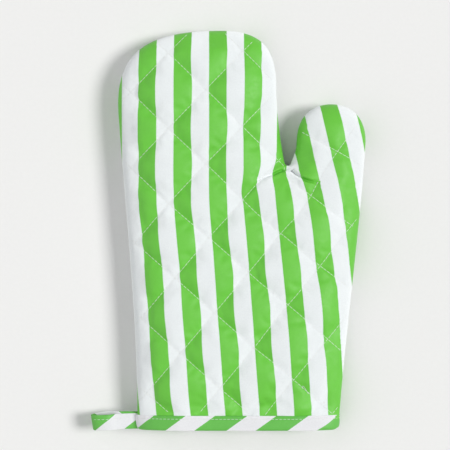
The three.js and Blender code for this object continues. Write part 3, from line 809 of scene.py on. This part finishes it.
# The folded strip's section, from its upper edge on the outside to the fold: y, and how far
# it stands off the ply under it. The topstitching draws it in.
TOPSTITCH_LEVEL = 6.9
BINDING_SECTION = (
    (9.2, 0.0), (9.35, 0.35), (9.3, 0.8), (9.0, 1.0), (8.75, 0.8), (8.5, 0.55), (8.2, 0.6),
    (7.8, 0.92), (7.3, 0.9), (TOPSTITCH_LEVEL, 0.76), (6.5, 0.88), (5.7, 1.1), (4.4, 1.24),
    (2.8, 1.3), (1.2, 1.26), (0.1, 1.12), (-0.75, 0.85),
)
FOLD_SECTION = ((-1.35, 0.1), (-1.6, 0.3), (-1.65, 0.5), (-1.6, 0.7), (-1.35, 0.9))
FOLD_STAND = 0.62
UNDER_SECTION = ((9.0, 1.0), (-0.3, 1.0), (-0.3, 0.0))  # against the plies that it covers
RING_COLUMNS = 84  # across one half of the cuff
END_LIFT = 0.12  # by which its two ends are kept apart


def binding_rows():
    """Each row of the section as y, the share of the way to the inside, and the stand-off."""
    outer = [(y, 0.0, stand) for y, stand in BINDING_SECTION]
    fold = [(y, inwards, FOLD_STAND) for y, inwards in FOLD_SECTION]
    inner = [(y, 1.0, stand) for y, stand in BINDING_SECTION[::-1]]
    return outer + fold + inner + [(y, inwards, 0.0) for y, inwards in UNDER_SECTION]


def binding_ring(y, inwards, stand):
    """One lengthwise line of the binding: around the cuff from its left end and back to it."""
    even = np.linspace(0, 1, RING_COLUMNS + 1)
    shares = mix(even, 0.5 - 0.5 * np.cos(np.pi * even), 0.8)  # closer together at the corners
    share = np.concatenate([shares, shares[::-1][1:]])
    front = np.arange(len(share)) <= RING_COLUMNS
    along = np.concatenate([shares, 2 - shares[::-1][1:]]) * 2 * HALF_CUFF
    left, right = share * 2 * HALF_CUFF, (1 - share) * 2 * HALF_CUFF
    # The strip lies a little unevenly, and its right corner is rounded where it turns over.
    wave = 0.10 * np.sin(along / 0.93) + 0.08 * np.sin(along / 2.3 + 1.0)
    stand = BINDING_CLEARANCE + stand + wave * (stand > 0.2) * smooth((y - 2) / 5)
    rounding = 1.1 * bell(right, 1.8)
    lifted = y + rounding * np.clip((5 - y) / 6.5, 0, 1)
    inset = mix(-stand, LINED_INSET + PLY_GAP + stand, inwards)
    depth = mix(-stand, LINED_DEPTH + PLY_GAP + stand, inwards)
    ring = cuff_points(share, front, lifted, inset, depth)
    # Its left end is sewn down at a slant, and its right end is drawn in.
    slant = (1.7 * np.clip(1 - y / BINDING_WIDTH, 0, 1.1) - 0.6) * bell(left, 3.5)
    ring[:, 0] += slant - bell(right, 4)
    slipped = slant - 3.0 * bell(left, 14)
    return ring, along + np.where(front, slipped, -slipped)


def cuff_binding():
    rows = binding_rows()
    points, stripe, weave = [], [], []
    for y, inwards, stand in rows:
        ring, along = binding_ring(y, inwards, stand)
        flat = y if inwards < 0.5 else 2 * BIAS_FOLD_LEVEL - y
        across = along - HALF_CUFF
        points.append(ring)
        stripe.append((across - BIAS_SLOPE * (flat - BIAS_FOLD_LEVEL) - BIAS_START) / BIAS_REPEAT)
        weave.append(np.column_stack([across + flat, across - flat, 0 * across]) / math.sqrt(2))
    count = len(points[0])
    faces = grid_faces(len(rows), count, rows_close=True)
    faces.append([row * count for row in range(len(rows))])
    faces.append([row * count + count - 1 for row in range(len(rows))][::-1])
    points = np.vstack(points)
    # The two ends of the strip lie over each other at the left end of the cuff.
    points[::count, 2] += END_LIFT
    points[count - 1 :: count, 2] -= END_LIFT
    obj = mesh_object("cuff_binding_cloth", points, faces, outwards=True)
    store(obj.data, "stripe", np.concatenate(stripe))
    store(obj.data, "weave", np.vstack(weave))
    return obj


# ---------------- hanging loop

loop_box = [np.array(corner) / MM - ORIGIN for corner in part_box("hanging_loop")]
LOOP_ROOT = frame["joints"][0]["pos_m"][0] / MM - ORIGIN[0]
LOOP_FOLD_X = loop_box[0][0] + 3.0  # the soft strip isn't drawn out to its full length
LOOP_WIDTH = loop_box[1][1] - loop_box[0][1]
LOOP_SEWN = 7  # length over which the two legs are sewn to each other
LOOP_BULGE = loop_box[1][2] - LOOP_THICKNESS / 2  # the legs' greatest height over their middle
LOOP_ROUND = 9  # length of the rounded fold
LOOP_STITCH_ACROSS = 2.3  # from the middle of the strip to its stitching
LOOP_STITCH_RAISED = 0.04
ROOT_TUCK = 3.6  # how far the root reaches under the binding


def bezier(a, b, c, d, count):
    t = np.linspace(0, 1, count)[:, None]
    a, b, c, d = map(np.array, (a, b, c, d))
    return (1 - t) ** 3 * a + 3 * (1 - t) ** 2 * t * b + 3 * (1 - t) * t**2 * c + t**3 * d


def loop_line():
    """The middle of the folded strip, seen from the side: out along the top and back below."""
    close = LOOP_THICKNESS / 2 + 0.02
    sewn = LOOP_ROOT - LOOP_SEWN
    fold = LOOP_FOLD_X + LOOP_THICKNESS / 2
    widest = fold + LOOP_ROUND
    reach = (sewn - widest) / 2
    full = 0.55 * LOOP_ROUND
    upper = np.vstack([
        [(LOOP_ROOT + ROOT_TUCK, close), (LOOP_ROOT, close), (LOOP_ROOT - 3.5, close)],
        bezier((sewn, close), (sewn - reach, close), (widest + reach, LOOP_BULGE),
               (widest, LOOP_BULGE), 14),
        bezier((widest, LOOP_BULGE), (widest - full, LOOP_BULGE), (fold, 0.55 * LOOP_BULGE),
               (fold, 0), 12)[1:],
    ])
    return np.vstack([upper, (upper * (1, -1))[::-1][1:]])


def loop_section():
    """The strip's section, as places across it and up: a flat oval."""
    section = []
    for angle in np.linspace(0, 2 * np.pi, 28, endpoint=False):
        c, s = math.cos(angle), math.sin(angle)
        across = (LOOP_WIDTH / 2 + 0.3) * math.copysign(abs(c) ** 0.22, c)
        up = (LOOP_THICKNESS / 2 - 0.03) * math.copysign(abs(s) ** 0.45, s)
        if abs(up) > 0.4:
            up -= math.copysign(0.14 * bell(across - LOOP_STITCH_ACROSS, 0.7), up)
        section.append((across, up))
    return np.array(section)


def hanging_loop():
    """The loop, and what its stitching needs: its middle line, the directions out of it, the
    length along it, and the y of its middle."""
    line = divide_evenly(smooth_line(loop_line(), 0.3), 0.8)
    along = length_along(line)
    tangent = np.gradient(line, axis=0)
    tangent /= np.linalg.norm(tangent, axis=1)[:, None]
    out = np.column_stack([tangent[:, 1], -tangent[:, 0]])
    # The lower leg lies a little nearer the fingers, and the fold hangs a little.
    middle = along / along[-1]
    lower = smooth((middle - 0.45) / 0.3)
    droop = -1.1 * np.sin(np.pi * np.minimum(middle, 0.5)) ** 2
    centre = (loop_box[0][1] + loop_box[1][1]) / 2 + 0.7 + mix(droop, 1.3, lower)
    slant = 0.16 * np.sin(np.pi * middle)
    across, up = (value[None, :] for value in loop_section().T)
    y = centre[:, None] + across
    x = line[:, :1] + out[:, :1] * up - slant[:, None] * across
    z = line[:, 1:] + out[:, 1:] * up
    flat = line[0][0] - along[:, None] + 0 * across
    bias = flat - BIAS_SLOPE * (y - BIAS_FOLD_LEVEL) - LOOP_BIAS_START
    rows, columns = y.shape
    faces = grid_faces(rows, columns, columns_close=True)
    faces.append(list(range(columns)))
    faces.append([(rows - 1) * columns + j for j in range(columns)][::-1])
    points = np.stack([x, y, z], axis=-1).reshape(-1, 3)
    obj = mesh_object("hanging_loop_strip", points, faces, outwards=True)
    store(obj.data, "stripe", (bias / BIAS_REPEAT).ravel())
    weave = np.stack([flat + y, flat - y, 0 * y], axis=-1) / math.sqrt(2)
    store(obj.data, "weave", weave.reshape(-1, 3))
    return obj, line, out, along, centre


# ---------------- thread

STITCH_RINGS = ((-0.36, 0.75), (0.0, 1.0), (0.36, 0.75))
STITCH_SIDES = 6


def stitch_mesh():
    """The points of a stitch of length and width 1, along x, and its faces."""
    points = [(-0.5, 0, -0.3)]
    for share, size in STITCH_RINGS:
        for k in range(STITCH_SIDES):
            angle = 2 * math.pi * k / STITCH_SIDES
            points.append((share, size / 2 * math.cos(angle), size / 2 * math.sin(angle)))
    points.append((0.5, 0, -0.3))
    last = len(points) - 1
    rings = grid_faces(len(STITCH_RINGS), STITCH_SIDES, columns_close=True)
    faces = [[n + 1 for n in face] for face in rings]
    for k in range(STITCH_SIDES):
        n = (k + 1) % STITCH_SIDES
        faces += [[0, 1 + n, 1 + k], [last - STITCH_SIDES + k, last - STITCH_SIDES + n, last]]
    return np.array(points), faces


def stitches(name, *rows):
    """Rows of short raised stitches: their places, length and width. Each place is a point,
    a direction and an up."""
    shape, shape_faces = stitch_mesh()
    points, faces = [], []
    for places, length, width in rows:
        for place, along, up in places:
            along = along / np.linalg.norm(along)
            aside = np.cross(up, along)
            aside /= np.linalg.norm(aside)
            axes = np.array([along * length, aside * width, np.cross(along, aside) * width])
            faces += [[n + len(points) for n in face] for face in shape_faces]
            points += list(place + shape @ axes)
    return mesh_object(name, points, faces, outwards=True)


QUILT_STITCH = (2.85, 0.36)  # length and width
QUILT_PITCH = 3.1
QUILT_RAISED = 0.1  # over the cloth
THREAD_TO_SEAM = 0.9  # the quilting thread stays that far away
THREAD_TO_BINDING = 0.8
TOP_STITCH = (2.3, 0.32)
TOP_PITCH = 2.9
TOP_RAISED = 0.91  # over the ply under the binding
# The end of the thread that hangs loose near the cuff, hooked at its upper end.
LOOSE_END = ((46.6, 29.2), (46.2, 30.6), (47.0, 31.0), (48.3, 29.3), (49.8, 27.0), (51.1, 25.2))
LOOSE_STITCH = (0.9, 0.34)
LOOSE_RAISED = 0.25


def quilting_lines():
    """The quilting lines inside the mitt's outline, as runs of places."""
    runs = []
    steps = np.arange(-LATTICE_REACH, LATTICE_REACH, 1 / 12)
    for number in range(-LATTICE_REACH, LATTICE_REACH + 1):
        fixed = np.full(len(steps), float(number))
        for line in (lattice_places(fixed, steps), lattice_places(steps, fixed)):
            if len(line) < 3:
                continue
            keep = inside_outline(line) & (true_distance(line) > THREAD_TO_SEAM)
            keep &= line[:, 1] > BINDING_WIDTH + THREAD_TO_BINDING
            for run in np.split(np.arange(len(line)), np.nonzero(np.diff(keep))[0] + 1):
                if keep[run[0]] and len(run) > 2:
                    runs.append(line[run])
    return runs


def quilting_thread(name, cloth, front):
    """Stitches along the quilting lines, on the cloth's own surface."""
    tree = BVHTree.FromPolygons(
        [v.co for v in cloth.data.vertices], [p.vertices[:] for p in cloth.data.polygons]
    )
    down = Vector((0, 0, -1 if front else 1))
    up = np.array([0, 0, 1.0 if front else -1.0])

    def sewn(line, raised):
        on_cloth = []
        for x, y in line:
            start = Vector(((x + ORIGIN[0]) * MM, (y + ORIGIN[1]) * MM, 0)) - down * 0.2
            hit = tree.ray_cast(start, down)[0]
            on_cloth.append(None if hit is None else np.array(hit) / MM - ORIGIN)
        places = []
        for i in range(1, len(on_cloth) - 1, 2):
            a, b, c = on_cloth[i - 1 : i + 2]
            if a is not None and b is not None and c is not None:
                places.append(((a + 2 * b + c) / 4 + up * raised, c - a, up))
        return places

    places = []
    for run in quilting_lines():
        places += sewn(divide_evenly(run, QUILT_PITCH / 2), QUILT_RAISED)
    loose = smooth_line(np.array(LOOSE_END), 0.3) if front else np.zeros((0, 2))
    return stitches(name, (places, *QUILT_STITCH), (sewn(loose, LOOSE_RAISED), *LOOSE_STITCH))


def binding_thread():
    """Topstitching along the binding, on both sides of the cuff."""
    ring, _ = binding_ring(TOPSTITCH_LEVEL, 0.0, TOP_RAISED)
    line = divide_evenly(ring, TOP_PITCH)
    places = []
    for before, place, after in zip(line, line[1:], line[2:]):
        along = after - before
        out = np.array([-along[2], 0, along[0]])
        # It points away from the seam plane, and at the corners away from the middle.
        if out @ (place * (0.02, 0, 1)) < 0:
            out = -out
        places.append((place, along, out / np.linalg.norm(out)))
    return stitches("binding_topstitching", (places, *TOP_STITCH))


def loop_thread(line, out, along, centre):
    places = []
    for s in np.arange(1, int(along[-1] / TOP_PITCH)) * TOP_PITCH:
        x, z, out_x, out_z, y = (
            np.interp(s, along, values) for values in (*line.T, *out.T, centre)
        )
        if x > LOOP_ROOT - 1.5:
            continue
        up = np.array([out_x, 0, out_z])
        place = np.array([x, y + LOOP_STITCH_ACROSS, z])
        place += up * (LOOP_THICKNESS / 2 + LOOP_STITCH_RAISED)
        places.append((place, np.array([-out_z, 0, out_x]), up))
    return stitches("loop_stitching", (places, *TOP_STITCH))


# ---------------- materials

WHITE = (0.855, 0.885, 0.892)
GREEN = (0.14, 0.565, 0.045)
BINDING_WHITE = (0.84, 0.845, 0.86)
BINDING_GREEN = (0.125, 0.50, 0.07)
LINING_WHITE = (0.80, 0.80, 0.785)
WADDING_WHITE = (0.82, 0.80, 0.76)
THREAD_WHITE = (0.90, 0.91, 0.89)
FLOOR_GREY = (0.84, 0.84, 0.832)
CLOTH_SPECULAR = 0.5
CLOTH_ROUGHNESS = (0.85, 0.96)
PRINT_SMOOTHNESS = 0.4  # by which the printed colour is less rough than the cloth
THREAD_PITCH = 0.55  # of the woven cloth, from thread to thread
TWIST_PITCH = 0.45  # of the sewing thread


class Nodes:
    """The node tree of a new material. What goes into a socket is a number, a colour, or
    another node's output."""

    def __init__(self, name):
        self.material = bpy.data.materials.new(name)
        self.material.use_nodes = True
        self.tree = self.material.node_tree

    def put(self, value, socket):
        if isinstance(value, bpy.types.NodeSocket):
            self.tree.links.new(value, socket)
        else:
            socket.default_value = (*value, 1) if isinstance(value, tuple) else value

    def add(self, kind, sockets=(), **settings):
        """Adds a node and returns its outputs. sockets are pairs of a socket and its value."""
        node = self.tree.nodes.new("ShaderNode" + kind)
        for name, value in settings.items():
            setattr(node, name, value)
        for socket, value in sockets:
            self.put(value, node.inputs[socket])
        return node.outputs

    def math(self, operation, *values):
        return self.add("Math", enumerate(values), operation=operation)[0]

    def multiply(self, a, b):
        return self.math("MULTIPLY", a, b)

    def colour_mix(self, share, a, b, blend="MIX"):
        sockets = ((0, share), (6, a), (7, b))
        return self.add("Mix", sockets, data_type="RGBA", blend_type=blend)[2]

    def darkened(self, share, colour, darkest):
        """The colour, made darker by that factor where the share is 0. This is painted shade where
        the share follows a bump's height, and uneven tone where it is random noise.
        """
        return self.colour_mix(share, tuple(darkest * c for c in colour), colour)

    def map_range(self, value, low, high, to_low=0.0, to_high=1.0):
        sockets = enumerate((value, low, high, to_low, to_high))
        return self.add("MapRange", sockets, interpolation_type="SMOOTHSTEP")[0]

    def noise(self, vector, scale, detail=2.0, roughness=0.5):
        sockets = (("Vector", vector), ("Scale", scale), ("Detail", detail))
        return self.add("TexNoise", (*sockets, ("Roughness", roughness)))[0]

    def attribute(self, name):
        return self.add("Attribute", attribute_name=name)

    def place(self):
        """The place on the object, in millimetres at rest."""
        place = self.add("TexCoord")["Object"]
        return self.add("VectorMath", ((0, place), ("Scale", 1 / MM)), operation="SCALE")[0]

    def bump(self, height, distance, strength, before=None):
        """A normal that follows the height, which stands for that many millimetres."""
        sockets = [("Strength", strength), ("Distance", distance * MM), ("Height", height)]
        if before is not None:
            sockets.append(("Normal", before))
        return self.add("Bump", sockets)[0]

    def surface(self, values):
        """Sets the shader's inputs and returns the material."""
        for name, value in values.items():
            self.put(value, self.tree.nodes["Principled BSDF"].inputs[name])
        return self.material


def weave_height(nodes, weave):
    """Height of a plain weave: threads that pass over and under each other by turns."""
    split = nodes.add("SeparateXYZ", ((0, weave),))
    wave = [nodes.math("SINE", nodes.multiply(split[k], math.pi / THREAD_PITCH)) for k in (0, 1)]
    over = nodes.map_range(nodes.multiply(*wave), -0.25, 0.25)
    upper = nodes.multiply(nodes.math("ABSOLUTE", wave[0]), over)
    lower = nodes.multiply(nodes.math("ABSOLUTE", wave[1]), nodes.math("SUBTRACT", 1.0, over))
    return nodes.math("ADD", upper, lower)


def finish_cloth(nodes, colour, weave, wrinkle=0.5, printed=None):
    """What all the woven cloths share: uneven dye, nap, weave and fine wrinkles. Where a
    colour is printed on the cloth, its binder makes it a little smoother."""
    place = nodes.place()
    blotch = nodes.map_range(nodes.noise(place, 0.06, 3), 0.3, 0.7, 0.985, 1.01)
    slub = nodes.map_range(nodes.noise(weave, 1.3, 2, 0.7), 0.25, 0.75, 0.955, 1.03)
    shade = nodes.multiply(blotch, slub)
    tone = nodes.add("CombineXYZ", [(k, shade) for k in range(3)])[0]
    roughness = nodes.map_range(nodes.noise(place, 0.5), 0.3, 0.7, *CLOTH_ROUGHNESS)
    if printed is not None:
        smoother = nodes.multiply(printed, PRINT_SMOOTHNESS)
        roughness = nodes.math("SUBTRACT", roughness, smoother)
        nodes.surface({"Diffuse Roughness": nodes.math("SUBTRACT", 1.0, printed)})
    normal = nodes.bump(weave_height(nodes, weave), 0.10, 0.35)
    return nodes.surface({
        "Base Color": nodes.colour_mix(1.0, colour, tone, "MULTIPLY"),
        "Roughness": roughness,
        "Normal": nodes.bump(nodes.noise(place, 0.16, 3, 0.55), 0.9, wrinkle, normal),
        "Specular IOR Level": CLOTH_SPECULAR,
        "Sheen Weight": 0.04,
        "Sheen Roughness": 0.5,
    })


def striped_cloth(name, white, green, share, softness, wrinkle):
    """Woven cloth with printed stripes. The stripe attribute counts their repeats."""
    nodes = Nodes(name)
    weave = nodes.attribute("weave")["Vector"]
    count = nodes.attribute("stripe")["Fac"]
    ragged = nodes.multiply(nodes.math("SUBTRACT", nodes.noise(weave, 2.2, 1), 0.5), 0.02)
    phase = nodes.math("FRACT", nodes.math("ADD", count, ragged))
    rise = nodes.map_range(phase, 0.0, softness)
    fall = nodes.map_range(phase, share, share + softness, 1.0, 0.0)
    printed = nodes.multiply(rise, fall)
    colour = nodes.colour_mix(printed, white, green)
    return finish_cloth(nodes, colour, weave, wrinkle, printed)


def plain_cloth(name, colour):
    nodes = Nodes(name)
    dye = nodes.add("RGB")[0]
    nodes.put(colour, dye)
    return finish_cloth(nodes, dye, nodes.attribute("weave")["Vector"])


def wadding_fleece(name):
    """Needled fibres: soft, with no sheen of its own, uneven all over, and painted darker where the
    fibres lie low.
    """
    nodes = Nodes(name)
    fibres = nodes.noise(nodes.place(), 0.9, 6, 0.7)
    shade = nodes.map_range(fibres, 0.3, 0.7)
    return nodes.surface({
        # Darker where the fibres' bump lies low: painted shade in the fleece's hollows.
        "Base Color": nodes.darkened(shade, WADDING_WHITE, 0.86),
        "Normal": nodes.bump(fibres, 0.8, 0.6),
        "Roughness": 0.95,
        "Specular IOR Level": 0.1,
        "Sheen Weight": 0.3,
    })


def sewing_thread(name, colour):
    """Spun thread, with the slant of its twist in height, and painted shade in the twist's grooves.
    """
    nodes = Nodes(name)
    split = nodes.add("SeparateXYZ", ((0, nodes.place()),))
    slant = nodes.math("ADD", split[0], nodes.multiply(split[1], 1.7))
    twist = nodes.math("SINE", nodes.multiply(slant, 2 * math.pi / TWIST_PITCH))
    return nodes.surface({
        # The colour is darker where the twist lies low: painted shade in its grooves, as the thread
        # itself is one colour.
        "Base Color": nodes.darkened(nodes.map_range(twist, -1.0, 1.0), colour, 0.88),
        "Normal": nodes.bump(twist, 0.05, 0.5),
        "Roughness": 0.55,
        "Sheen Weight": 0.2,
    })


def pale_paper(name, colour):
    nodes = Nodes(name)
    shade = nodes.map_range(nodes.noise(nodes.place(), 0.4, 3), 0.2, 0.8)
    return nodes.surface({
        "Base Color": nodes.darkened(shade, colour, 0.985),
        "Roughness": 0.9,
        "Specular IOR Level": 0.1,
    })


def put_on(material, *objects):
    for obj in objects:
        obj.data.materials.clear()
        obj.data.materials.append(material)


# ---------------- the pieces

quilted = quilted_surface()
front_cloth = face_cloth("front_face_quilted", quilted, True)
back_cloth = face_cloth("back_face_quilted", quilted, False)
front_wadding = wadding("front_wadding_quilted", "front")
back_wadding = wadding("back_wadding_quilted", "back")
front_lining = lining("front_lining_cloth", "front")
back_lining = lining("back_lining_cloth", "back")
binding = cuff_binding()
loop, *loop_facts = hanging_loop()
front_thread = quilting_thread("front_quilting_thread", front_cloth, True)
back_thread = quilting_thread("back_quilting_thread", back_cloth, False)
topstitching = binding_thread()
loop_stitching = loop_thread(*loop_facts)

put_on(
    striped_cloth("striped face cloth", WHITE, GREEN, STRIPE_GREEN, 0.018, wrinkle=0.12),
    front_cloth, back_cloth,
)
put_on(
    striped_cloth(
        "striped binding cloth", BINDING_WHITE, BINDING_GREEN, BIAS_GREEN, 0.014, wrinkle=0.5
    ),
    binding, loop,
)
put_on(plain_cloth("white lining cloth", LINING_WHITE), front_lining, back_lining)
put_on(wadding_fleece("wadding fleece"), front_wadding, back_wadding)
put_on(
    sewing_thread("white thread", THREAD_WHITE),
    front_thread, back_thread, topstitching, loop_stitching,
)

for piece, node, name in (
    (front_cloth, "front_face_cloth", "face_cloth"),
    (back_cloth, "back_face_cloth", "face_cloth"),
    (front_wadding, "front_wadding", "wadding"),
    (back_wadding, "back_wadding", "wadding"),
    (front_lining, "front_lining", "lining"),
    (back_lining, "back_lining", "lining"),
    (binding, "cuff_binding", "binding"),
    (loop, "hanging_loop", "binding"),
):
    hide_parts(node)
    if piece is not loop:
        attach(piece, "mitt")
for piece in (front_thread, back_thread, topstitching):
    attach(piece, "mitt")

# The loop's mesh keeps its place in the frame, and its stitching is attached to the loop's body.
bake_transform(loop)
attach(loop_stitching, "loop")

# ---------------- camera, floor and light

VIEW_CENTRE = (-1.1, 3.7)  # of the picture, over the floor
VIEW_WIDTH = 328.5
CAMERA_HEIGHT = 1500
NEAREST_SEEN = 0.05  # metres
FLOOR_RADIUS = 60  # metres, so that its edge is the horizon


def add_camera():
    data = bpy.data.cameras.new("camera")
    camera = new_object("camera", data)
    camera.location = Vector((*VIEW_CENTRE, SEAM_HEIGHT + CAMERA_HEIGHT)) * MM
    data.lens = data.sensor_width * CAMERA_HEIGHT / VIEW_WIDTH
    data.clip_start = NEAREST_SEEN
    bpy.context.scene.camera = camera


def add_floor():
    bpy.ops.mesh.primitive_circle_add(vertices=96, radius=FLOOR_RADIUS, fill_type="NGON")
    floor = bpy.context.object
    floor.name = "floor"
    put_on(pale_paper("pale paper", FLOOR_GREY), floor)


# Each lamp: elevation, azimuth from +X towards the fingers, strength, and width on the sky,
# which softens its shadows.
WINDOW = (47, 2, 2.15, 20)
REFLECTOR = (50, 180, 0.95, 90)
LAMP_COLOUR = (1.0, 0.995, 0.985)
SKY_COLOUR = (0.975, 0.985, 1.0)
SKY_STRENGTH = 0.32


def add_lamp(name, elevation, azimuth, strength, width):
    data = bpy.data.lights.new(name, "SUN")
    data.energy = strength
    data.angle = math.radians(width)
    data.color = LAMP_COLOUR
    elevation, azimuth = math.radians(elevation), math.radians(azimuth)
    towards = Vector((
        math.cos(elevation) * math.cos(azimuth),
        math.cos(elevation) * math.sin(azimuth),
        math.sin(elevation),
    ))
    new_object(name, data).rotation_euler = towards.to_track_quat("Z", "Y").to_euler()


def add_light():
    add_lamp("window", *WINDOW)
    add_lamp("reflector", *REFLECTOR)
    world = bpy.data.worlds.new("room")
    world.use_nodes = True
    background = world.node_tree.nodes["Background"]
    background.inputs["Color"].default_value = (*SKY_COLOUR, 1)
    background.inputs["Strength"].default_value = SKY_STRENGTH
    bpy.context.scene.world = world


add_camera()
add_floor()
add_light()
bpy.context.scene.view_settings.view_transform = "Standard"
